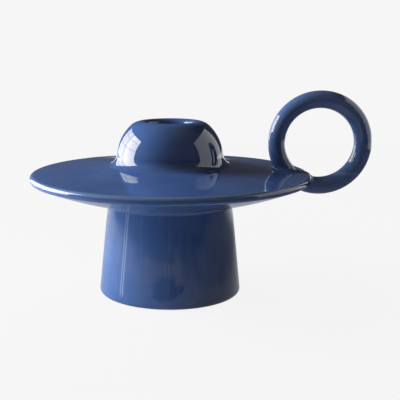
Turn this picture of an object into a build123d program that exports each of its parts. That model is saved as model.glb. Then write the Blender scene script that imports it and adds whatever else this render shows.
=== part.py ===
from build123d import *
import math
import os

# A brimmed chamberstick with a finger loop. Its clay pieces are joined with slip while
# leather-hard, each keyed into the next by a spigot and a rebate.
# Millimetres, +Z up. The origin is where the axis of the foot meets the table, and the
# finger ring stands on the +X side, in the plane Y = 0.

# Pedestal foot: a tapered tube, open below
foot_base_radius = 35.0
foot_neck_radius = 30.4
foot_height = 45.0
foot_wall = 4.6
foot_corner_radius = 1.8
foot_inner_corner_radius = 1.2
foot_spigot_depth = 1.5

# Drip plate: a saucer below and a brim above, with a hollow between them
plate_radius = 68.0
rim_lift = 11.3
rim_thickness = 2.9
rim_round_radius = 1.22
underside_sag = 1.0
brim_rise = 4.4
brim_dip = 0.25
brim_wall = 4.2
saucer_wall = 4.2
rim_width = 12.0
lap_width = 3.0
vent_radius = 1.25
brim_hole_radius = 18.4

# Socket dome: a squat shell, elliptical in section, that springs from a short upright
dome_radius = 26.0
dome_upright = 2.8
dome_rise = 23.05
dome_wall = 4.2
flange_shelf = 2.7
dome_seat_depth = 1.75

# Candle cup: it hangs in the dome by its flange, and its lip is the top of the dome
bore_radius = 11.25
bore_depth = 24.0
cup_wall = 3.2
cup_floor = 3.5
cup_corner_radius = 2.0
lip_radius = 2.45
shoulder_radius = 19.1
flange_radius = 16.8
flange_thickness = 2.0

# Rolls of clay in the corners under the plate and round the dome
foot_seam_radius = 1.6
foot_seam_bed = 2.0
dome_seam_radius = 3.0
dome_seam_bed = 1.2
seam_key = 1.0

# Finger ring: round in section, upright, coped over the rim of the plate, where it swells
ring_radius = 20.9
ring_wire_radius = 4.2
ring_reach = 4.5
ring_lift = 14.5
ring_swell = 1.6
ring_swell_length = 19.0
ring_swell_sections = 9

# Fits
slip_gap = 0.15
overrun = 1.0

# Heights and radii that follow from the sizes above
rim_low_height = foot_height + rim_lift
rim_top_height = rim_low_height + rim_thickness
hub_height = rim_top_height + brim_rise
springing_height = hub_height + dome_upright
half_span_share = 0.5

# Half section of the whole body of revolution, with the bore taken out
shoulder_share = shoulder_radius / dome_radius
shoulder_angle = math.acos(shoulder_share)
shoulder_height_share = math.sin(shoulder_angle)
shoulder_height = springing_height + dome_rise * shoulder_height_share
shoulder_slope = math.atan(dome_rise * shoulder_share / (dome_radius * shoulder_height_share))
crest_radius = bore_radius + lip_radius
lip_outer_radius = (shoulder_radius - crest_radius) / math.sin(shoulder_slope)
crest_height = shoulder_height + lip_outer_radius * (1 - math.cos(shoulder_slope))
bore_floor_height = crest_height - bore_depth

neck = Vector(foot_neck_radius, foot_height)
rim_low = Vector(plate_radius, rim_low_height)
rim_top = Vector(plate_radius, rim_top_height)
hub = Vector(dome_radius, hub_height)
underside_middle = (neck + rim_low) * half_span_share - Vector(0, underside_sag)
brim_middle = (hub + rim_top) * half_span_share - Vector(0, brim_dip)
shoulder = Vector(shoulder_radius, shoulder_height)
crest = Vector(crest_radius, crest_height)

# Handles that bend a cubic curve into part of an ellipse, or into a quarter of one
dome_handle_share = 4 / 3 * math.tan(shoulder_angle / 4)
quarter_handle_share = 4 / 3 * math.tan(math.pi / 8)
springing_handle = Vector(dome_radius, springing_height + dome_handle_share * dome_rise)
shoulder_handle = shoulder + Vector(
    dome_handle_share * shoulder_height_share * dome_radius,
    -dome_handle_share * shoulder_share * dome_rise,
)

with BuildSketch(Plane.XZ) as body_section:
    with BuildLine():
        Polyline((0, bore_floor_height), (0, 0), (foot_base_radius, 0), neck)
        ThreePointArc(neck, underside_middle, rim_low)
        Line(rim_low, rim_top)
        ThreePointArc(rim_top, brim_middle, hub)
        Line(hub, (dome_radius, springing_height))
        Bezier((dome_radius, springing_height), springing_handle, shoulder_handle, shoulder)
        TangentArc(crest, shoulder, tangent=(1, 0))
        TangentArc((bore_radius, crest_height - lip_radius), crest, tangent=(0, 1))
        Polyline((bore_radius, crest_height - lip_radius),
                 (bore_radius, bore_floor_height), (0, bore_floor_height))
    make_face()
    corners = body_section.vertices()
    fillet(corners.sort_by_distance((foot_base_radius, 0))[0], foot_corner_radius)
    fillet(corners.sort_by_distance(neck)[0], foot_seam_radius)
    fillet(corners.sort_by_distance(rim_low)[0], rim_round_radius)
    fillet(corners.sort_by_distance(rim_top)[0], rim_round_radius)
    fillet(corners.sort_by_distance(hub)[0], dome_seam_radius)

os.makedirs("parts", exist_ok=True)

# Pedestal foot
spigot_radius = foot_neck_radius - seam_key
spigot_inner_radius = foot_neck_radius - foot_wall
spigot_top = foot_height + foot_spigot_depth
foot_seam_low = foot_height - foot_seam_radius
foot_seam_top = foot_height + foot_seam_bed
foot_seam_outer = foot_neck_radius + foot_seam_radius

with BuildPart() as pedestal_foot:
    with BuildSketch(Plane.XZ) as foot_section:
        add(body_section.sketch_local)
        with BuildLine():
            Polyline((0, 0), (plate_radius, 0), (plate_radius, foot_seam_low),
                     (spigot_radius, foot_seam_low), (spigot_radius, spigot_top),
                     (0, spigot_top), close=True)
        make_face(mode=Mode.INTERSECT)
        with BuildLine():
            Polyline((0, 0), (foot_base_radius - foot_wall, 0),
                     (spigot_inner_radius, spigot_top), (0, spigot_top), close=True)
        make_face(mode=Mode.SUBTRACT)
        inner_corner = (foot_base_radius - foot_wall, 0)
        fillet(foot_section.vertices().sort_by_distance(inner_corner)[0],
               foot_inner_corner_radius)
    revolve(axis=Axis.Z)
pedestal_foot.part.label = "pedestal_foot"
export_step(pedestal_foot.part, "parts/pedestal_foot.step")

# Roll of clay in the corner between the foot and the plate
with BuildPart() as foot_seam_coil:
    with BuildSketch(Plane.XZ):
        add(body_section.sketch_local)
        with Locations((spigot_radius, foot_seam_low)):
            Rectangle(foot_seam_outer - spigot_radius, foot_seam_top - foot_seam_low,
                      align=Align.MIN, mode=Mode.INTERSECT)
    revolve(axis=Axis.Z)
foot_seam_coil.part.label = "foot_seam_coil"
export_step(foot_seam_coil.part, "parts/foot_seam_coil.step")

# Saucer shell: the underside of the plate, seated on the foot, with a vent at its centre.
# The lap with the brim lies half way up the plate.
lap_radius = plate_radius - rim_width
lap_inner_radius = lap_radius - lap_width
underside_run_share = (lap_radius - foot_neck_radius) / (plate_radius - foot_neck_radius)
brim_run_share = rim_width / (plate_radius - dome_radius)
underside_at_lap = foot_height + rim_lift * underside_run_share - underside_sag
brim_at_lap = rim_top_height + brim_rise * brim_run_share
lap_height = (underside_at_lap + brim_at_lap) * half_span_share
saucer_floor_top = foot_height + saucer_wall

with BuildPart() as saucer_shell:
    with BuildSketch(Plane.XZ):
        add(body_section.sketch_local)
        with BuildLine():
            Polyline((0, foot_seam_low), (lap_radius, foot_seam_low), (lap_radius, lap_height),
                     (lap_inner_radius, lap_height), (foot_neck_radius, saucer_floor_top),
                     (0, saucer_floor_top), close=True)
        make_face(mode=Mode.INTERSECT)
        with BuildLine():
            Polyline((0, foot_seam_low), (foot_seam_outer, foot_seam_low),
                     (foot_seam_outer, foot_seam_top),
                     (spigot_radius, foot_seam_top), (spigot_radius, spigot_top),
                     (spigot_inner_radius, spigot_top), (spigot_inner_radius, foot_height),
                     (0, foot_height), close=True)
        make_face(mode=Mode.SUBTRACT)
        Rectangle(vent_radius, crest_height, align=Align.MIN, mode=Mode.SUBTRACT)
    revolve(axis=Axis.Z)
saucer_shell.part.label = "saucer_shell"
export_step(saucer_shell.part, "parts/saucer_shell.step")

# Brim shell: the top and the rim of the plate, lapped over the saucer
dome_spigot_radius = dome_radius - seam_key
dome_seat_height = hub_height - dome_seat_depth
dome_seam_low = hub_height - dome_seam_bed
dome_seam_top = springing_height
dome_seam_outer = dome_radius + dome_seam_radius
over_top = crest_height + overrun

with BuildPart() as brim_shell:
    with BuildSketch(Plane.XZ):
        add(body_section.sketch_local)
        with BuildLine():
            Polyline((0, 0), (lap_radius, 0), (lap_radius, lap_height),
                     (lap_inner_radius, lap_height), (brim_hole_radius, hub_height - brim_wall),
                     (brim_hole_radius, dome_seat_height), (dome_spigot_radius, dome_seat_height),
                     (dome_spigot_radius, dome_seam_low), (dome_seam_outer, dome_seam_low),
                     (dome_seam_outer, over_top), (0, over_top), close=True)
        make_face(mode=Mode.SUBTRACT)
    revolve(axis=Axis.Z)
brim_shell.part.label = "brim_shell"
export_step(brim_shell.part, "parts/brim_shell.step")

# Roll of clay in the corner between the dome and the plate
with BuildPart() as dome_seam_coil:
    with BuildSketch(Plane.XZ):
        add(body_section.sketch_local)
        with Locations((dome_spigot_radius, dome_seam_low)):
            Rectangle(dome_seam_outer - dome_spigot_radius, dome_seam_top - dome_seam_low,
                      align=Align.MIN, mode=Mode.INTERSECT)
    revolve(axis=Axis.Z)
dome_seam_coil.part.label = "dome_seam_coil"
export_step(dome_seam_coil.part, "parts/dome_seam_coil.step")

# Socket dome: thicker at its crown, where a rebate carries the flange of the cup
cup_outer_radius = bore_radius + cup_wall
cup_hole_radius = cup_outer_radius + slip_gap
flange_reach = flange_radius - crest_radius
flange_drop = lip_outer_radius - math.sqrt(lip_outer_radius ** 2 - flange_reach ** 2)
flange_seat_height = crest_height - flange_drop - flange_thickness
dome_inner_radius = dome_radius - dome_wall
cup_hole_share = cup_hole_radius / dome_inner_radius
shelf_rise = flange_seat_height - flange_shelf - springing_height
dome_inner_rise = shelf_rise / math.sqrt(1 - cup_hole_share ** 2)
dome_inner_top = springing_height + dome_inner_rise

with BuildPart() as socket_dome:
    with BuildSketch(Plane.XZ):
        add(body_section.sketch_local)
        with Locations((0, dome_seat_height)):
            Rectangle(dome_radius, over_top - dome_seat_height,
                      align=Align.MIN, mode=Mode.INTERSECT)
        with BuildLine():
            Bezier((dome_inner_radius, springing_height),
                   (dome_inner_radius, springing_height + quarter_handle_share * dome_inner_rise),
                   (quarter_handle_share * dome_inner_radius, dome_inner_top),
                   (0, dome_inner_top))
            Polyline((0, dome_inner_top), (0, dome_seat_height),
                     (dome_inner_radius, dome_seat_height),
                     (dome_inner_radius, springing_height))
        make_face(mode=Mode.SUBTRACT)
        Rectangle(cup_hole_radius, over_top, align=Align.MIN, mode=Mode.SUBTRACT)
        with Locations((0, flange_seat_height)):
            Rectangle(flange_radius, over_top - flange_seat_height,
                      align=Align.MIN, mode=Mode.SUBTRACT)
        with Locations((dome_spigot_radius, dome_seat_height)):
            Rectangle(seam_key, dome_seam_top - dome_seat_height,
                      align=Align.MIN, mode=Mode.SUBTRACT)
    revolve(axis=Axis.Z)
socket_dome.part.label = "socket_dome"
export_step(socket_dome.part, "parts/socket_dome.step")

# Candle cup: flange, lip, tube and floor in one
cup_bottom_height = bore_floor_height - cup_floor

with BuildPart() as candle_cup:
    with BuildSketch(Plane.XZ) as cup_section:
        add(body_section.sketch_local)
        with Locations((0, flange_seat_height)):
            Rectangle(flange_radius, over_top - flange_seat_height,
                      align=Align.MIN, mode=Mode.INTERSECT)
        with Locations((0, cup_bottom_height)):
            Rectangle(cup_outer_radius, flange_seat_height - cup_bottom_height, align=Align.MIN)
        with Locations((0, bore_floor_height)):
            Rectangle(bore_radius, bore_depth + overrun, align=Align.MIN, mode=Mode.SUBTRACT)
        cup_corners = cup_section.vertices()
        fillet(cup_corners.sort_by_distance((bore_radius, bore_floor_height))[0],
               cup_corner_radius)
        fillet(cup_corners.sort_by_distance((cup_outer_radius, cup_bottom_height))[0],
               cup_corner_radius)
    revolve(axis=Axis.Z)
candle_cup.part.label = "candle_cup"
export_step(candle_cup.part, "parts/candle_cup.step")

# Finger ring: its wire runs through the rim, swelling on the way, and the plate is cut out
ring_plane = Plane(origin=(plate_radius + ring_reach, 0, rim_top_height + ring_lift),
                   x_dir=(1, 0, 0), z_dir=(0, -1, 0))
rim_middle_drop = ring_lift + rim_thickness * half_span_share
rim_angle = math.degrees(math.acos(rim_middle_drop / ring_radius))
swell_middle_angle = 270 - rim_angle
swell_angle = math.degrees(ring_swell_length / ring_radius)
swell_start_angle = swell_middle_angle - swell_angle * half_span_share

with BuildPart() as finger_ring:
    with BuildLine(ring_plane) as swell_path:
        CenterArc((0, 0), ring_radius, swell_start_angle, swell_angle)
    for index in range(ring_swell_sections):
        run_share = index / (ring_swell_sections - 1)
        with BuildSketch(swell_path.line ^ run_share):
            Circle(ring_wire_radius + ring_swell * math.sin(math.pi * run_share) ** 2)
    loft()
    with BuildLine(ring_plane) as free_path:
        CenterArc((0, 0), ring_radius, swell_start_angle + swell_angle, 360 - swell_angle)
    with BuildSketch(free_path.line ^ 0):
        Circle(ring_wire_radius)
    sweep(path=free_path.line)
    revolve(body_section.sketch, axis=Axis.Z, mode=Mode.SUBTRACT)
finger_ring.part.label = "finger_ring"
export_step(finger_ring.part, "parts/finger_ring.step")
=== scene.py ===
# %% [markdown]
# A chamberstick is a candle holder to carry about the house: a drip plate on a foot, a
# socket for the candle, and a ring for one finger. This one is stoneware under a glossy blue
# glaze. Its clay pieces were turned on a wheel, all but the ring, which is a rolled wire of
# clay, so here too each round piece is a half section spun about the upright axis.
# The imported CAD model is the frame. It comes first, and its box is kept.

# %% Load the frame
import math

import bpy
from mathutils import Matrix, Vector, geometry
from mathutils.bvhtree import BVHTree


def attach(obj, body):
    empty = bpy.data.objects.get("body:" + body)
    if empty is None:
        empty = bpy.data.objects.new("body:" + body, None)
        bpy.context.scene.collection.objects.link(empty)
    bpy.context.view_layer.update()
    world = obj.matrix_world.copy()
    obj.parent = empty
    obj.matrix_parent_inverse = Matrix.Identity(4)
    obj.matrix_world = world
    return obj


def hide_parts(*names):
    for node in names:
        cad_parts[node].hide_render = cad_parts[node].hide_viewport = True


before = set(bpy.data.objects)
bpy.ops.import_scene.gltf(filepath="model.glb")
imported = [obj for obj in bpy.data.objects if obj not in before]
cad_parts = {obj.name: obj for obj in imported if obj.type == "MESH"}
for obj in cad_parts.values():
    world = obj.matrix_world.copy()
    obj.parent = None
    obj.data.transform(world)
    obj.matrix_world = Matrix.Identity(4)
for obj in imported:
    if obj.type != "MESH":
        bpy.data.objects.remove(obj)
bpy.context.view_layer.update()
bpy.ops.object.select_all(action="DESELECT")
print("CAD nodes:", ", ".join(sorted(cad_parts)))

# %% [markdown]
# The sizes are those of the fired piece. A potter works in millimetres and Blender in
# metres, so each size is written in millimetres and multiplied once. Radii are taken from
# the upright axis, and heights from the table.

# %% Sizes of the turned pieces
MM = 0.001

foot_base_radius = 35.0 * MM
foot_neck_radius = 30.4 * MM
foot_height = 45.0 * MM
foot_wall = 4.6 * MM
foot_corner_radius = 1.8 * MM
foot_inner_corner_radius = 1.2 * MM
spigot_top = foot_height + 1.5 * MM

plate_radius = 68.0 * MM
rim_low_height = foot_height + 11.3 * MM
rim_top_height = rim_low_height + 2.9 * MM
rim_top_round = 1.8 * MM
rim_low_round = 1.4 * MM
underside_sag = 1.0 * MM
brim_dip = 0.25 * MM
hub_height = rim_top_height + 4.4 * MM
lap_radius = plate_radius - 12.0 * MM
lap_inner_radius = lap_radius - 3.0 * MM
vent_radius = 1.25 * MM
saucer_floor_top = foot_height + 4.2 * MM
brim_hole_radius = 18.4 * MM
brim_hub_thickness = 4.2 * MM

dome_radius = 26.0 * MM
dome_rise = 23.05 * MM
dome_inner_radius = dome_radius - 4.2 * MM
springing_height = hub_height + 2.8 * MM
dome_seat_height = hub_height - 1.75 * MM
dome_ledge = 2.7 * MM

bore_radius = 11.25 * MM
bore_depth = 24.0 * MM
lip_radius = 2.45 * MM
shoulder_radius = 19.1 * MM
flange_radius = 16.8 * MM
flange_thickness = 2.0 * MM
cup_floor = 3.5 * MM
cup_outer_radius = bore_radius + 3.2 * MM
cup_hole_radius = cup_outer_radius + 0.15 * MM
cup_corner_radius = 2.0 * MM

seam_key = 1.0 * MM
foot_seam_radius = 1.6 * MM
foot_seam_low = foot_height - foot_seam_radius
foot_seam_top = foot_height + 2.0 * MM
foot_seam_outer = foot_neck_radius + foot_seam_radius
dome_seam_reach = 4.6 * MM
dome_seam_low = hub_height - 1.2 * MM
dome_seam_outer = dome_radius + dome_seam_reach

print("rim from", round(rim_low_height / MM, 2), "to", round(rim_top_height / MM, 2), "mm")

# %% [markdown]
# The lip of the socket is a tight curl on its inside and a wide, flatter curve on its
# outside, which runs into the dome with no edge. Its place follows from the slope of the
# dome where the two meet, so it is worked out and not guessed.

# %% Where the lip meets the dome
shoulder_turn = math.acos(shoulder_radius / dome_radius)
shoulder_height = springing_height + dome_rise * math.sin(shoulder_turn)
shoulder_slope = math.atan(dome_rise * math.cos(shoulder_turn)
                           / (dome_radius * math.sin(shoulder_turn)))
crest_radius = bore_radius + lip_radius
lip_outer_radius = (shoulder_radius - crest_radius) / math.sin(shoulder_slope)
crest_height = shoulder_height + lip_outer_radius * (1 - math.cos(shoulder_slope))
bore_floor_height = crest_height - bore_depth
cup_bottom_height = bore_floor_height - cup_floor
flange_turn = math.asin((flange_radius - crest_radius) / lip_outer_radius)
flange_top_height = crest_height - lip_outer_radius * (1 - math.cos(flange_turn))
flange_seat_height = flange_top_height - flange_thickness
print("the lip is", round(crest_height / MM, 2), "mm above the table")

# %% [markdown]
# A half section is a list of points, each a radius and a height. Four small helpers draw
# it: points spread along a line, a point swung round a centre, a rounded corner, and the
# height of a slightly hollow face such as the top of the plate. The two hollow faces are
# arcs of very large circles, which is what a long rib leaves on turning clay.

# %% Helpers that draw a half section
def point(radius, height):
    return Vector((radius, height))


def spread(first, last, steps):
    """Numbers from first to last, both included."""
    return [first + (last - first) * i / steps for i in range(steps + 1)]


def swing(start, centre, turn, steps=12):
    """Points of an arc: start swung round centre."""
    return [centre + Matrix.Rotation(angle, 2) @ (start - centre) for angle in spread(0, turn, steps)]


def corner(before, at, after, radius, steps=12):
    """Points that round the corner between the lines from before and to after."""
    into, out = (at - before).normalized(), (after - at).normalized()
    turn = math.atan2(into.cross(out), into.dot(out))
    start = at - into * radius * math.tan(abs(turn) / 2)
    return swing(start, start + Vector((-into.y, into.x)) * math.copysign(radius, turn), turn, steps)


def hollow(start, middle, end):
    """A function that gives the height of the hollow arc through three points at any radius."""
    a, b = middle - start, end - start
    across = 2 * a.cross(b)
    centre = start + Vector((b.y * a.length_squared - a.y * b.length_squared,
                             a.x * b.length_squared - b.x * a.length_squared)) / across
    reach = (start - centre).length
    return lambda radius: centre.y - math.sqrt(reach ** 2 - (radius - centre.x) ** 2)


neck = point(foot_neck_radius, foot_height)
rim_low = point(plate_radius, rim_low_height)
rim_top = point(plate_radius, rim_top_height)
hub = point(dome_radius, hub_height)
underside = hollow(neck, (neck + rim_low) / 2 - point(0, underside_sag), rim_low)
brim = hollow(rim_top, (rim_top + hub) / 2 - point(0, brim_dip), hub)


def on_underside(first, last, steps=24):
    return [point(radius, underside(radius)) for radius in spread(first, last, steps)]


def on_brim(first, last, steps=24):
    return [point(radius, brim(radius)) for radius in spread(first, last, steps)]


print("the plate is", round((brim(lap_radius) - underside(lap_radius)) / MM, 2), "mm thick at the lap")

# %% [markdown]
# A thrown pot is its section turned about an axis, so a turned piece starts as one vertex.
# It is extruded from point to point along the section, closed, and spun once round. The
# spin leaves a seam where it meets itself, and any point on the axis many times over, so
# doubles are merged before the normals are turned outwards. Corners under forty degrees
# are shaded smooth and the mating faces keep their edges.

# %% Helper that turns a piece
turns = 192
merge_distance = 0.002 * MM
smooth_angle = math.radians(40)


def deselect():
    if bpy.context.object and bpy.context.object.mode != "OBJECT":
        bpy.ops.object.mode_set(mode="OBJECT")
    bpy.ops.object.select_all(action="DESELECT")


def turn_piece(name, section, closed=True):
    """A solid of revolution from a half section of (radius, height) points."""
    deselect()
    first = section[0]
    bpy.ops.mesh.primitive_plane_add(size=2 * MM, location=(0, 0, 0))
    piece = bpy.context.object
    piece.name = piece.data.name = name
    bpy.ops.object.mode_set(mode="EDIT")
    bpy.ops.mesh.merge(type="CENTER")
    bpy.ops.transform.translate(value=(first.x, 0, first.y))
    for before, after in zip(section, section[1:]):
        step = after - before
        bpy.ops.mesh.extrude_region_move(TRANSFORM_OT_translate={"value": (step.x, 0, step.y)})
    if closed:
        bpy.ops.mesh.select_all(action="DESELECT")
        bpy.ops.object.mode_set(mode="OBJECT")
        piece.data.vertices[0].select = piece.data.vertices[-1].select = True
        bpy.ops.object.mode_set(mode="EDIT")
        bpy.ops.mesh.edge_face_add()
    bpy.ops.mesh.select_all(action="SELECT")
    bpy.ops.mesh.spin(steps=turns, angle=2 * math.pi, center=(0, 0, 0), axis=(0, 0, 1))
    bpy.ops.mesh.select_all(action="SELECT")
    bpy.ops.mesh.remove_doubles(threshold=merge_distance)
    bpy.ops.mesh.normals_make_consistent(inside=False)
    bpy.ops.object.mode_set(mode="OBJECT")
    bpy.ops.object.shade_smooth_by_angle(angle=smooth_angle)
    print(name, "has", len(section), "points in its section and", len(piece.data.polygons), "faces")
    return piece


# %% [markdown]
# The foot is a leaning tube, open below, that stands on a narrow ring of bare clay. A
# cylinder with its top scaled in would give the tube, but not the two different corners of
# the foot ring or the spigot that keys it into the plate, so it is turned from its section.

# %% Pedestal foot
def foot_side(height):
    """Radius of the outside of the foot at a height."""
    return foot_base_radius + (foot_neck_radius - foot_base_radius) * height / foot_height


base_edge = point(foot_base_radius, 0)
inner_edge = point(foot_base_radius - foot_wall, 0)
spigot_inner = point(foot_neck_radius - foot_wall, spigot_top)
spigot_radius = foot_neck_radius - seam_key
close_loop = 0.25 * MM

pedestal_foot = turn_piece("pedestal_foot_turned", (
    corner(spigot_inner, inner_edge, base_edge, foot_inner_corner_radius)
    + corner(inner_edge, base_edge, neck, foot_corner_radius)
    + [point(foot_side(height), height) for height in spread(foot_height / 9, foot_height * 8 / 9, 7)]
    + [point(foot_side(foot_seam_low - close_loop), foot_seam_low - close_loop),
       point(foot_side(foot_seam_low), foot_seam_low), point(spigot_radius, foot_seam_low),
       point(spigot_radius, spigot_top), spigot_inner]
))

# %% [markdown]
# A thin roll of clay is smoothed into the corner under the plate, so foot and plate run
# into each other. On the real piece its edges vanish under the glaze. It is a ring of its
# own here, and its hollow face starts and ends in line with its neighbours.

# %% Roll of clay under the plate
foot_seam_coil = turn_piece("foot_seam_coil_turned", (
    [point(spigot_radius, foot_seam_low), point(foot_side(foot_seam_low), foot_seam_low)]
    + corner(base_edge, neck, point(foot_seam_outer, underside(foot_seam_outer)), foot_seam_radius)
    + [point(foot_seam_outer, underside(foot_seam_outer)), point(foot_seam_outer, foot_seam_top),
       point(spigot_radius, foot_seam_top)]
))

# %% [markdown]
# The drip plate is two shells with air between them, which keeps a wide plate light and
# stops it sagging in the kiln. The lower one is the saucer: a shallow bowl with a vent at
# its centre, so that the trapped air can leave in the firing. It ends in a lap, inside the
# rim, where the upper shell is seated.

# %% Saucer shell
lap_height = (brim(lap_radius) + underside(lap_radius)) / 2

saucer_shell = turn_piece("saucer_shell_turned", (
    [point(vent_radius, foot_height), point(spigot_inner.x, foot_height), spigot_inner,
     point(spigot_radius, spigot_top), point(spigot_radius, foot_seam_top),
     point(foot_seam_outer, foot_seam_top)]
    + on_underside(foot_seam_outer, foot_seam_outer + close_loop, 1)
    + on_underside(foot_seam_outer + 2 * close_loop, lap_radius - close_loop)
    + [point(lap_radius, underside(lap_radius)), point(lap_radius, lap_height),
       point(lap_inner_radius, lap_height), point(foot_neck_radius, saucer_floor_top),
       point(vent_radius, saucer_floor_top)]
))

# %% [markdown]
# The brim is the upper shell. Its top falls gently to a rim about 3 mm thick. Both corners
# of the rim are softened with a wet sponge, the upper one more, and it is these two soft
# corners that catch the light as long thin lines. A bevel on a sharp rim would do the same,
# but here the corners are drawn in the section, because the ring is coped over them later
# and needs the same curve.

# %% Brim shell
inner_reach = 2.2 * MM


def rim_section(sink=0):
    """Both corners of the rim, from the underside to the top, moved into the clay by sink."""
    low, top = rim_low + point(-sink, sink), rim_top - point(sink, sink)
    below = point(low.x - inner_reach, underside(low.x - inner_reach) + sink)
    above = point(top.x - inner_reach, brim(top.x - inner_reach) - sink)
    return (corner(below, low, top, rim_low_round - sink)
            + corner(low, top, above, rim_top_round - sink))


brim_shell = turn_piece("brim_shell_turned", (
    [point(lap_inner_radius, lap_height), point(lap_radius, lap_height)]
    + on_underside(lap_radius, lap_radius + close_loop, 1)
    + on_underside(lap_radius + 2 * close_loop, plate_radius - inner_reach, 10)
    + rim_section()
    + on_brim(plate_radius - 2 * inner_reach, dome_seam_outer + close_loop)
    + [point(dome_seam_outer, brim(dome_seam_outer)), point(dome_seam_outer, dome_seam_low),
       point(dome_radius - seam_key, dome_seam_low), point(dome_radius - seam_key, dome_seat_height),
       point(brim_hole_radius, dome_seat_height),
       point(brim_hole_radius, hub_height - brim_hub_thickness)]
))

# %% [markdown]
# A thicker roll fills the corner round the dome. Where wax would gather in a sharp corner,
# a soft one can be wiped clean. A thumb draws the roll out thin on the plate and a little
# way up the dome, so its face is no plain arc. It is one smooth curve from toe to top, with
# both handles pulled towards the corner. It leaves the plate in line with it. At its top it
# is four degrees off the slope of the dome, and from behind the gloss shows that as a thin
# line. A top handle laid along the slope of the dome would let the two meet in line.

# %% Roll of clay round the dome
seam_fullness = 0.55
seam_rise = 1.8 * MM
seam_steps = 24


def on_ellipse(radius, rise, first, last, steps=30):
    return [point(radius * math.cos(turn), springing_height + rise * math.sin(turn))
            for turn in spread(first, last, steps)]


seam_toe = point(dome_seam_outer, brim(dome_seam_outer))
seam_turn = math.asin(seam_rise / dome_rise)
seam_top = on_ellipse(dome_radius, dome_rise, 0, seam_turn, 1)[-1]
seam_face = geometry.interpolate_bezier(seam_toe, seam_toe.lerp(hub, seam_fullness),
                                        seam_top.lerp(hub, seam_fullness), seam_top, seam_steps)

dome_seam_coil = turn_piece("dome_seam_coil_turned", (
    [point(dome_radius - seam_key, dome_seam_low), point(dome_seam_outer, dome_seam_low)]
    + seam_face
    + on_ellipse(dome_radius, dome_rise, seam_turn * 2 / 3, 0, 2)
    + [point(dome_radius - seam_key, springing_height)]
))

# %% [markdown]
# The dome is a squat shell, elliptical in section. A sphere scaled down would have no wall
# and no seat, so it is turned as well: outside up to the lip, then the rebate that carries
# the flange of the cup, and back down the inside.

# %% Socket dome
lip_outer_centre = point(crest_radius, crest_height - lip_outer_radius)
crest = point(crest_radius, crest_height)
inner_turn = math.acos(cup_hole_radius / dome_inner_radius)
dome_inner_rise = (flange_seat_height - dome_ledge - springing_height) / math.sin(inner_turn)
outer_lip = swing(crest, lip_outer_centre, -shoulder_slope, 16)

socket_dome = turn_piece("socket_dome_turned", (
    [point(dome_radius - seam_key, dome_seat_height), point(dome_radius - seam_key, springing_height)]
    + on_ellipse(dome_radius, dome_rise, 0, shoulder_turn)
    + [place for place in reversed(outer_lip[:-1]) if place.x > flange_radius + close_loop]
    + [swing(crest, lip_outer_centre, -flange_turn, 1)[-1],
       point(flange_radius, flange_seat_height), point(cup_hole_radius, flange_seat_height)]
    + on_ellipse(dome_inner_radius, dome_inner_rise, inner_turn, 0, 16)
    + [point(dome_inner_radius, dome_seat_height)]
))

# %% [markdown]
# The cup is the part that holds the candle. Its lip is the top of the dome, and its bore is
# straight and a little wider than a dinner candle. Both ends of its section lie on the
# axis, so this section is left open and the spin closes it.

# %% Candle cup
bore_top = point(bore_radius, crest_height - lip_radius)
bore_corner = point(bore_radius, bore_floor_height)
cup_corner = point(cup_outer_radius, cup_bottom_height)
bore_floor = point(0, bore_floor_height)
cup_bottom = point(0, cup_bottom_height)
quarter_turn = math.pi / 2

candle_cup = turn_piece("candle_cup_turned", (
    [bore_floor]
    + corner(bore_floor, bore_corner, bore_top, cup_corner_radius)
    + [point(bore_radius, height) for height in
       spread(bore_floor_height + 2 * cup_corner_radius, bore_top.y - lip_radius, 5)]
    + swing(bore_top, point(crest_radius, bore_top.y), -quarter_turn, 18)
    + swing(crest, lip_outer_centre, -flange_turn, 8)[1:]
    + [point(flange_radius, flange_seat_height), point(cup_outer_radius, flange_seat_height)]
    + corner(point(cup_outer_radius, flange_seat_height), cup_corner, cup_bottom, cup_corner_radius)
    + [cup_bottom]
), closed=False)

# %% [markdown]
# The ring is one wire of clay, rolled under the palm, bent round and coped over the rim. A
# torus is the start. A rolled wire is never even, so it is made a touch thinner on the
# side of the dome. Then it is landed: where it comes near the plate, each point moves out
# along its own normal until it lies on a soft blend of wire and plate, as a thumb would
# press the join. The distance to the plate is read from a temporary copy of the rim.

# %% Finger ring
ring_outset = 4.5 * MM
ring_raise = 14.5 * MM
ring_centre = Vector((plate_radius + ring_outset, 0, rim_top_height + ring_raise))
ring_radius = 20.9 * MM
wire_radius = 4.22 * MM
wire_uneven = 0.14 * MM
ring_segments = 480
wire_segments = 72
landing_reach = 2.7 * MM
landing_steps = 40
rim_inner = 40.0 * MM
cope_sink = 0.25 * MM


def rim_solid(name, sink=0):
    """The outer part of the plate in one, from rim_inner to the rim."""
    outer = plate_radius - 2 * inner_reach
    return turn_piece(name, (
        [place + point(0, sink) for place in on_underside(rim_inner, outer)]
        + rim_section(sink)
        + [place - point(0, sink) for place in on_brim(outer, rim_inner)]
    ))


rim_form = rim_solid("rim_form")
rim_tree = BVHTree.FromObject(rim_form, bpy.context.evaluated_depsgraph_get())


def off_plate(place):
    """Distance from the plate, negative inside the clay."""
    nearest, normal, _, distance = rim_tree.find_nearest(place)
    return math.copysign(distance, (place - nearest).dot(normal))


def soft_union(first, second, reach):
    """Distance to two forms that melt into each other over reach."""
    share = max(reach - abs(first - second), 0) / reach
    return min(first, second) - share ** 2 * reach / 4


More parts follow.
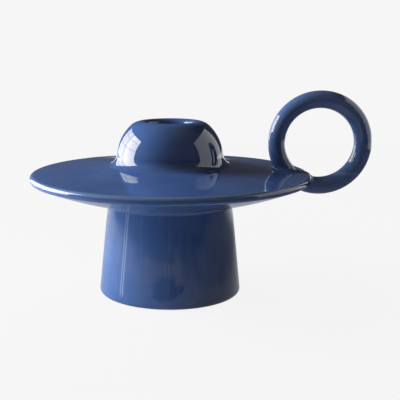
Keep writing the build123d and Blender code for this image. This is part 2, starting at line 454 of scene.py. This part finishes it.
deselect()
bpy.ops.mesh.primitive_torus_add(major_radius=ring_radius, minor_radius=wire_radius,
                                 major_segments=ring_segments, minor_segments=wire_segments,
                                 location=ring_centre, rotation=(quarter_turn, 0, 0))
finger_ring = bpy.context.object
finger_ring.name = finger_ring.data.name = "finger_ring_rolled"
bpy.ops.object.transform_apply(location=True, rotation=True, scale=True)
landed = 0
for vertex in finger_ring.data.vertices:
    spoke = vertex.co - ring_centre
    spoke.y = 0
    spoke.normalize()
    core = ring_centre + spoke * ring_radius
    outward = (vertex.co - core).normalized()
    place = core + outward * (wire_radius + wire_uneven * spoke.x)
    out = 0
    if off_plate(place) < landing_reach:
        for _ in range(landing_steps):
            short = soft_union(out, off_plate(place + outward * out), landing_reach)
            out = min(out - short, landing_reach)
        landed += 1
    vertex.co = place + outward * out
print(landed, "points of the wire were landed on the plate")

# %% [markdown]
# Last, the plate is cut out of the ring, as a potter copes the wire to sit over the rim.
# The cutter is the rim a quarter of a millimetre smaller, so the thin edge of the blend
# dips under the glaze and no gap can show.

# %% Cope the ring over the rim
deselect()
bpy.data.objects.remove(rim_form)
rim_cutter = rim_solid("rim_cutter", cope_sink)
deselect()
finger_ring.select_set(True)
bpy.context.view_layer.objects.active = finger_ring
bpy.ops.object.modifier_add(type="BOOLEAN")
cope = finger_ring.modifiers[-1]
cope.object, cope.operation, cope.solver = rim_cutter, "DIFFERENCE", "EXACT"
bpy.ops.object.modifier_apply(modifier=cope.name)
bpy.ops.object.shade_smooth_by_angle(angle=smooth_angle)
bpy.data.objects.remove(rim_cutter)
print("the coped ring has", len(finger_ring.data.polygons), "faces")

# %% [markdown]
# Shader maths reads best as plain arithmetic. This small class wraps one output of a node,
# and adds a Math node for each sum. Every other node comes from its one method, which
# takes the kind of node, its settings, and what goes into its sockets.

# %% A value in a shader
class Value:
    """One output socket of a node tree, which can be added, multiplied and so on."""

    def __init__(self, tree, socket=None):
        self.tree, self.socket = tree, socket

    def node(self, kind, inputs=None, output=0, **settings):
        made = self.tree.nodes.new("ShaderNode" + kind)
        for name, setting in settings.items():
            setattr(made, name, setting)
        for name, given in (inputs or {}).items():
            if isinstance(given, Value):
                self.tree.links.new(given.socket, made.inputs[name])
            else:
                made.inputs[name].default_value = given
        return Value(self.tree, made.outputs[output] if made.outputs else None)

    def maths(self, operation, first, second=0.0):
        return self.node("Math", {0: first, 1: second}, operation=operation)

    def __add__(self, other):
        return self.maths("ADD", self, other)

    def __sub__(self, other):
        return self.maths("SUBTRACT", self, other)

    def __rsub__(self, other):
        return self.maths("SUBTRACT", other, self)

    def __mul__(self, other):
        return self.maths("MULTIPLY", self, other)

    def __truediv__(self, other):
        return self.maths("DIVIDE", self, other)

    __radd__, __rmul__ = __add__, __mul__

    def fade(self, low, high):
        """0 at low, 1 at high and a smooth run between them."""
        return self.node("MapRange", {"Value": self, "From Min": low, "From Max": high},
                         interpolation_type="SMOOTHSTEP")

    def noise(self, place, scale, detail):
        return self.node("TexNoise", {"Vector": place, "Scale": scale, "Detail": detail})

    def tint(self, share, first, second):
        """A colour mixed from two by a share."""
        return self.node("Mix", {0: share, 6: first, 7: second}, output=2, data_type="RGBA")


# %% [markdown]
# The glaze is a deep cobalt blue, thick and glassy. One material serves all eight pieces,
# because the real one was dipped when its pieces were already joined. Every pattern is read
# in object space, so it runs across the joins. A picture wrapped round the piece would show
# a seam, and noise has none.

# %% Glaze colours
glaze_blue = (0.040, 0.093, 0.264, 1)
glaze_pooled = (0.032, 0.073, 0.230, 1)
glaze_thin = (0.120, 0.175, 0.350, 1)
# The paler blue for level faces is partly painted light from above, partly glaze that settles evenly.
glaze_level_and_top_light = (0.053, 0.113, 0.318, 1)
# This pale colour also paints the highlight along the rim and two reflections on the foot.
pale_glaze_and_highlight = (0.175, 0.250, 0.430, 1)
speck_brown = (0.030, 0.034, 0.060, 1)
bare_clay = (0.560, 0.500, 0.420, 1)

glaze = bpy.data.materials.new("cobalt_glaze")
glaze.use_nodes = True
glaze.node_tree.nodes.clear()
start = Value(glaze.node_tree)
place = start.node("TexCoord", output="Object")
across = start.node("SeparateXYZ", {"Vector": place}, output="X")
along = start.node("SeparateXYZ", {"Vector": place}, output="Y")
height = start.node("SeparateXYZ", {"Vector": place}, output="Z")
print(glaze.name, "starts with", len(glaze.node_tree.nodes), "nodes")

# %% [markdown]
# Poured glaze is never one flat blue. It is darker where it pooled, clouded with paler
# patches, and peppered with tiny specks of iron from the clay. Each of these is a noise
# that is cut by a soft threshold, and the number per metre sets how broad it is. The foot
# ring was wiped, so that it wouldn't stick to the kiln shelf, and it is bare clay.

# %% Pools, clouds, specks and the wiped foot ring
pools_per_metre = 38
pool_fade = (0.35, 0.65)
clouds_per_metre = 150
cloud_fade = (0.40, 0.70)
specks_per_metre = 1500
speck_fade = (0.755, 0.80)
speck_patches_per_metre = 90
speck_patch_fade = (0.45, 0.60)
wiped_height = (0.30 * MM, 0.55 * MM)

pooling = start.noise(place, pools_per_metre, 3).fade(*pool_fade)
clouds = start.noise(place, clouds_per_metre, 3).fade(*cloud_fade)
specks = start.noise(place, specks_per_metre, 1).fade(*speck_fade)
specks = specks * start.noise(place, speck_patches_per_metre, 1).fade(*speck_patch_fade)
clay = 1 - height.fade(*wiped_height)
print("the clay is bare up to", round(wiped_height[1] / MM, 2), "mm")

# %% [markdown]
# Where glaze runs down the foot, it leaves fine upright streaks. Most are faint and come
# from a noise that is stretched upwards. Three lines can be told apart. The two side by side
# on the left of the front are painted reflections of the window's edges, pale lines that stand
# in for light, and the third, at the front, is a run. A line is a place on the round of the
# foot, so it is found by its bearing from the axis in radians, and it leans a little on its way
# up. All of them fade out above the foot ring and at the seam.

# %% Runs of glaze and painted reflections on the foot
streaks_per_metre = 420
streak_stretch = 0.06
streak_fade = (0.50, 0.72)
streak_share = 0.08
# The first two lines are painted reflections of the window's edges; the third is a run of glaze.
line_bearings_and_shares = ((-0.7365, 0.70), (-0.6965, 0.85), (-0.012, 0.14))
line_width = (0.004, 0.013)
line_lean = 0.73
line_middle_height = 25.0 * MM
fade_in_height = (3.0 * MM, 6.0 * MM)
fade_out_height = (foot_height - 2.5 * MM, foot_height - 0.5 * MM)

streak_place = start.node("Mapping", {"Vector": place, "Scale": (1, 1, streak_stretch)})
runs_and_painted_lines = start.noise(streak_place, streaks_per_metre, 2).fade(*streak_fade) * streak_share
bearing = start.maths("ARCTAN2", across, 0 - along) - (height - line_middle_height) * line_lean
for line_bearing, share in line_bearings_and_shares:
    off_line = start.maths("ABSOLUTE", bearing - line_bearing)
    runs_and_painted_lines = start.maths("MAXIMUM", runs_and_painted_lines, (1 - off_line.fade(*line_width)) * share)
runs_and_painted_lines = runs_and_painted_lines * height.fade(*fade_in_height) * (1 - height.fade(*fade_out_height))
print(len(line_bearings_and_shares), "runs of glaze on the foot")

# %% [markdown]
# Glaze draws back from a sharp edge and breaks paler there. Over the top corner of the rim
# this pale line is also a painted highlight, standing in for the light that the corner catches
# from above. The whole ring, not only its curved edges, is laid a little paler as well. Both
# are found by their place, because a node that finds edges by itself would also find the joins.

# %% Where the glaze breaks paler, with a painted highlight on the rim
rim_line_reach = (plate_radius - 2.5 * MM, plate_radius - 1.2 * MM)
rim_line_low = (rim_top_height - 1.4 * MM, rim_top_height - 0.6 * MM)
rim_line_high = (rim_top_height + 0.2 * MM, rim_top_height + 0.8 * MM)
# The pale line on the rim's top corner is partly a painted highlight.
rim_line_share = 0.48
wire_outside = (plate_radius, plate_radius + 2.0 * MM)
wire_inside = (40.0 * MM, 46.0 * MM)
wire_above = (rim_top_height + 1.3 * MM, rim_top_height + 4.8 * MM)
ring_pale_share = 0.18

from_axis = start.maths("SQRT", across * across + along * along)
# Painted highlight along the rim's top corner, together with the real break of the glaze.
rim_break_and_highlight = from_axis.fade(*rim_line_reach) * height.fade(*rim_line_low)
rim_break_and_highlight = rim_break_and_highlight * (1 - height.fade(*rim_line_high))
on_ring = start.maths("MAXIMUM", across.fade(*wire_outside),
                         across.fade(*wire_inside) * height.fade(*wire_above))
breaks_and_highlight = start.maths("MAXIMUM", rim_break_and_highlight * rim_line_share, on_ring * ring_pale_share)
print("the rim breaks pale from", round(rim_line_low[0] / MM, 1), "mm up")

# %% [markdown]
# The colours are laid over each other: first the blue, a shade paler where the surface lies
# level, which is partly glaze that settles evenly and partly painted light from above, then
# pools, clouds, pale edges with a painted highlight along the rim, runs with two painted
# reflections on the foot, specks, and the bare clay last. How level a place lies is read from
# its normal, whose third number is 1 where the surface looks straight up.

# %% Lay the colours over each other
top_light_fade = (0.80, 0.98)
pool_share = 0.60
cloud_share = 0.10
speck_share = 0.55

level = start.node("SeparateXYZ", {"Vector": start.node("TexCoord", output="Normal")}, output="Z")
# Level faces get the paler blue: painted light from above as well as evenly settled glaze.
colour = start.tint(level.fade(*top_light_fade), glaze_blue, glaze_level_and_top_light)
colour = start.tint(pooling * pool_share, colour, glaze_pooled)
colour = start.tint(clouds * cloud_share, colour, glaze_thin)
# Pale rim edge, partly a painted highlight; the whole ring a little paler.
colour = start.tint(breaks_and_highlight, colour, pale_glaze_and_highlight)
# Runs of glaze on the foot, and two painted reflections of the window there.
colour = start.tint(runs_and_painted_lines, colour, pale_glaze_and_highlight)
colour = start.tint(specks * speck_share, colour, speck_brown)
colour = start.tint(clay, colour, bare_clay)
print(len(glaze.node_tree.nodes), "nodes for the colour of the glaze")

# %% [markdown]
# Gloss is what shows first on this piece. A thrown surface swells slowly, like still water,
# which bends the edges of what it mirrors, and it has a very fine orange peel. The bare clay
# is gritty. The three are added up as one height in metres, and a Bump node turns it into a
# normal. The glaze is very smooth, a little less on the ring, and the clay is rough.

# %% Relief and gloss
swells_per_metre = 45
swell_depth = 0.35 * MM
peel_per_metre = 800
peel_depth = 0.0025 * MM
grains_per_metre = 2600
grain_depth = 0.08 * MM
glaze_roughness = 0.032
cloud_roughness = 0.015
wire_roughness = 0.035
clay_roughness = 0.60

swell = start.noise(place, swells_per_metre, 1)
peel = start.noise(place, peel_per_metre, 2)
grain = start.noise(place, grains_per_metre, 2)
relief = swell * swell_depth + peel * peel_depth + grain * clay * grain_depth
normal = start.node("Bump", {"Strength": 1.0, "Distance": 1.0, "Height": relief})
roughness = glaze_roughness + clouds * cloud_roughness + on_ring * wire_roughness
surface = start.node("BsdfPrincipled", {
    "Base Color": colour,
    "Roughness": roughness + clay * clay_roughness,
    "IOR": 1.5,
    "Normal": normal,
})
start.node("OutputMaterial", {"Surface": surface})
print("swell", round(swell_depth / MM, 2), "mm, peel", round(peel_depth / MM, 4), "mm")

# %% [markdown]
# Each piece takes the place of its CAD node, rides on the one body, and is given the glaze.
# The table also lists one of five slots for each piece, foot, plate, dome, cup or ring, but
# nothing here reads these slot names.

# %% Glaze the eight pieces
slots = {
    pedestal_foot: ("pedestal_foot", "foot_glaze"),
    foot_seam_coil: ("foot_seam_coil", "foot_glaze"),
    saucer_shell: ("saucer_shell", "plate_glaze"),
    brim_shell: ("brim_shell", "plate_glaze"),
    dome_seam_coil: ("dome_seam_coil", "dome_glaze"),
    socket_dome: ("socket_dome", "dome_glaze"),
    candle_cup: ("candle_cup", "cup_glaze"),
    finger_ring: ("finger_ring", "ring_glaze"),
}
for piece, (node, slot) in slots.items():
    piece.data.materials.clear()
    piece.data.materials.append(glaze)
    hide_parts(node)
    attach(piece, "root")
print(len(slots), "pieces are glazed")

# %% [markdown]
# The piece stands on a pale sweep, a plain disc that is wide enough for the camera. A big
# box round the object would do as well, but it would shut out the light of the room.

# %% Floor
paper = (0.92, 0.92, 0.92, 1)
floor_radius = 0.62
floor_sides = 96
floor_drop = 0.2 * MM
deselect()
bpy.ops.mesh.primitive_circle_add(vertices=floor_sides, radius=floor_radius, fill_type="NGON",
                                  location=(0, 0, -floor_drop))
floor = bpy.context.object
floor.name = "floor"

sweep = bpy.data.materials.new("paper_sweep")
sweep.use_nodes = True
sweep.node_tree.nodes.clear()
start = Value(sweep.node_tree)
on_floor = start.node("TexCoord", output="Object")
aside = start.node("SeparateXYZ", {"Vector": on_floor}, output="X")
deep = start.node("SeparateXYZ", {"Vector": on_floor}, output="Y")
from_middle = start.node("VectorMath", {0: on_floor}, output="Value", operation="LENGTH")
print("floor", 2 * floor_radius, "m across")

# %% [markdown]
# Glaze shows what it mirrors. In the photograph the ground is white, but the foot mirrors a
# table in a dim room: bright towards the window and behind the piece, grey in front, darker
# on the right, with one dark patch close by and a ragged far edge. So the floor has a second
# set of colours that only mirrored rays see. Places on it are in metres from the axis, and
# each pair of numbers is where a zone starts and ends.

# %% What the glaze mirrors of the table
table_near = (0.52, 0.53, 0.56, 1)
table_far = (0.09, 0.09, 0.11, 1)
table_bright = (1.15, 1.17, 1.20, 1)
window_zone_right = (-0.20, -0.04)
window_zone_left = (-0.36, -0.28)
window_zone_front = (-0.24, -0.06)
zone_behind = (0.12, 0.26)
dim_zone = (0.03, 0.14)
dim_share = 0.65
patch_place = (-0.008, -0.140)
patch_reach = (0.055, 0.065)
patch_fade = (0.90, 1.00)
patch_ragged = 1.6
patch_rags_per_metre = 24
edge_reach = (0.38, 0.41)
edge_ragged = 0.36
edge_rags_per_metre = 8
edge_end = (-0.06, 0.06)

window_side = (1 - aside.fade(*window_zone_right)) * aside.fade(*window_zone_left)
window_side = window_side * deep.fade(*window_zone_front)
patch_x = (aside - patch_place[0]) / patch_reach[0]
patch_y = (deep - patch_place[1]) / patch_reach[1]
patch = start.maths("SQRT", patch_x * patch_x + patch_y * patch_y)
patch = patch + (start.noise(on_floor, patch_rags_per_metre, 2) - 0.5) * patch_ragged
edge = from_middle + (start.noise(on_floor, edge_rags_per_metre, 2) - 0.5) * edge_ragged
far = edge.fade(*edge_reach) * (1 - (aside + deep).fade(*edge_end))
mirrored = start.tint(aside.fade(*dim_zone) * dim_share, table_near, table_far)
mirrored = start.tint(1 - patch.fade(*patch_fade), mirrored, table_far)
mirrored = start.tint(far, mirrored, table_far)
bright = start.maths("MAXIMUM", window_side, deep.fade(*zone_behind))
mirrored = start.tint(bright, mirrored, table_bright)
print(len(sweep.node_tree.nodes), "nodes for the mirrored table")

# %% [markdown]
# To the camera most of the floor's light is its own pale colour, so that the ground is even
# and runs without a line into the world behind it. The small rest is lit paper, which keeps
# the soft shadow of the piece, a little more of it close to the foot.

# %% Paper of the sweep
lit_paper = (0.80, 0.80, 0.80, 1)
own_light_near = 0.965
own_light_gain = 0.025
shadow_reach = (0.05, 0.20)

glossy = start.node("LightPath", output="Is Glossy Ray")
seen = start.node("LightPath", output="Is Camera Ray")
seen = seen + start.node("LightPath", output="Is Transmission Ray")
own = own_light_near + own_light_gain * from_middle.fade(*shadow_reach)
lit = start.node("BsdfDiffuse", {"Color": lit_paper})
glow = start.node("Emission", {"Color": start.tint(glossy, paper, mirrored), "Strength": 1.0})
paper_light = start.node("MixShader", {0: seen * own + glossy, 1: lit, 2: glow})
start.node("OutputMaterial", {"Surface": paper_light})
floor.data.materials.append(sweep)
print("own light of the floor from", own_light_near, "to", own_light_near + own_light_gain)

# %% [markdown]
# The world is the room. To the camera it is as pale as the sweep. Its light on the piece is
# dim and even. Mirrored, it is darker behind than in front, where the ring and the dome show
# a grey room, with a dark band at table level and a bright line low down behind.

# %% Room
room = (0.064, 0.067, 0.074, 1)
room_behind = (0.068, 0.068, 0.076, 1)
room_before = (0.250, 0.250, 0.265, 1)
before_fade = (-0.2, 0.5)
before_tilt = 0.5
above_table = (-0.03, 0.06)
horizon_behind = (0.0, 0.4)
horizon_top = (-0.050, -0.020)

world = bpy.data.worlds.new("room")
bpy.context.scene.world = world
world.use_nodes = True
world.node_tree.nodes.clear()
start = Value(world.node_tree)
direction = start.node("TexCoord", output="Generated")
backward = start.node("SeparateXYZ", {"Vector": direction}, output="Y")
upward = start.node("SeparateXYZ", {"Vector": direction}, output="Z")
seen = start.node("LightPath", output="Is Camera Ray")
seen = seen + start.node("LightPath", output="Is Transmission Ray")
before = (upward * before_tilt - backward).fade(*before_fade) * upward.fade(*above_table)
horizon = backward.fade(*horizon_behind) * (1 - upward.fade(*horizon_top))
mirrored = start.tint(horizon, start.tint(before, room_behind, room_before), table_bright)
colour = start.tint(start.node("LightPath", output="Is Glossy Ray"), room, mirrored)
colour = start.tint(seen, colour, paper)
start.node("OutputWorld", {"Surface": start.node("Background", {"Color": colour, "Strength": 1.0})})
print(len(world.node_tree.nodes), "nodes for the room")

# %% [markdown]
# All lamps are flat rectangles, like a window or a card, because the glaze shows the shape
# of what lights it. Blender wants the power of a lamp in watts, which changes with its size.
# Here a lamp has a radiance instead: how bright its face is, with 1 for paper white.

# %% Helper that hangs a lamp
def lamp(name, size, place, aim, radiance, colour=(1, 1, 1)):
    """A rectangular area lamp at place that faces aim."""
    deselect()
    bpy.ops.object.light_add(type="AREA", location=place)
    made = bpy.context.object
    made.name = name
    made.rotation_euler = (Vector(aim) - Vector(place)).to_track_quat("-Z", "Y").to_euler()
    made.data.shape = "RECTANGLE"
    made.data.size, made.data.size_y = size
    made.data.energy = radiance * math.pi * size[0] * size[1]
    made.data.color = colour
    made.visible_camera = False
    return made


# %% [markdown]
# The photograph's light comes from a window close on the left. The dome and the ring mirror
# it as a white shape with thin glazing bars, so it is hung as nine panes with gaps between
# them, in three columns that get dimmer towards the back of the room. A single lamp would
# give the same light and a blank white patch. Each pane is kept as where it starts and ends.

# %% Window
window_distance = 0.40
window_colour = (1.0, 0.94, 0.82)
near_panes = (-0.080, 0.173)
far_panes = (0.177, 0.370)
curtain = (0.374, 0.640)
pane_columns = ((near_panes, 13.0), (far_panes, 7.0), (curtain, 4.0))
pane_rows = ((0.030, 0.174), (0.178, 0.286), (0.290, 0.370))
for row, (bottom, top) in enumerate(pane_rows):
    for column, ((front, back), radiance) in enumerate(pane_columns):
        pane_size = (back - front, top - bottom)
        middle = (-window_distance, (front + back) / 2, (bottom + top) / 2)
        lamp(f"pane_{row}_{column}", pane_size, middle, (0, middle[1], middle[2]), radiance,
             window_colour)
print(len(pane_rows) * len(pane_columns), "panes")

# %% [markdown]
# The window alone would leave the plate too dark. Daylight from high on the left lights it,
# and a low glow off the table lights the left of the foot. Neither is mirrored, because the
# photograph's glaze doesn't show them. The grey card on the right is the other way round: it
# is mirrored by dome and ring, and lights nothing. A dim ceiling closes the room.

# %% Daylight, table, card and ceiling
daylight_size = (0.40, 0.30)
daylight_place = (-0.95, 0.17, 0.64)
daylight_aim = (0, 0, 0.07)
daylight_radiance = 24
daylight_colour = (0.975, 0.985, 1)
table_light_size = (0.12, 0.03)
table_light_place = (-0.17, -0.055, 0.018)
table_light_aim = (0, 0, 0.025)
table_light_radiance = 4.5
table_light_colour = (0.95, 0.98, 1)
card_size = (0.42, 0.29)
card_place = (0.27, 0.075, 0.175)
card_aim = (0, 0.075, 0.175)
card_radiance = 1.5
ceiling_size = (0.9, 0.9)
ceiling_place = (0, 0.1, 0.9)
ceiling_radiance = 0.06

sky = lamp("daylight", daylight_size, daylight_place, daylight_aim, daylight_radiance,
           daylight_colour)
sky.visible_glossy = False
table_light = lamp("table_light", table_light_size, table_light_place, table_light_aim,
                   table_light_radiance, table_light_colour)
table_light.visible_glossy = False
panel = lamp("card", card_size, card_place, card_aim, card_radiance)
panel.visible_diffuse = False
lamp("ceiling", ceiling_size, ceiling_place, (0, 0, 0), ceiling_radiance)
print("daylight, a glow off the table, a card and a ceiling")

# %% [markdown]
# The camera stands four tenths of a metre in front of the axis and looks down by less than
# twelve degrees. The foot stands left of the middle of the picture, because the ring reaches
# out on the right, so the lens is shifted a little and the camera isn't turned.

# %% Camera
camera_distance = 0.400
camera_height = 0.12337
camera_pitch = math.radians(11.651)
focal_length = 74.61
lens_shift = (0.0750, 0.0224)
deselect()
bpy.ops.object.camera_add(location=(0, -camera_distance, camera_height),
                          rotation=(quarter_turn - camera_pitch, 0, 0))
camera = bpy.context.object
camera.data.lens = focal_length
camera.data.shift_x, camera.data.shift_y = lens_shift
bpy.context.scene.camera = camera
bpy.context.scene.view_settings.view_transform = "Standard"
print("lens", round(camera.data.lens, 1), "mm")
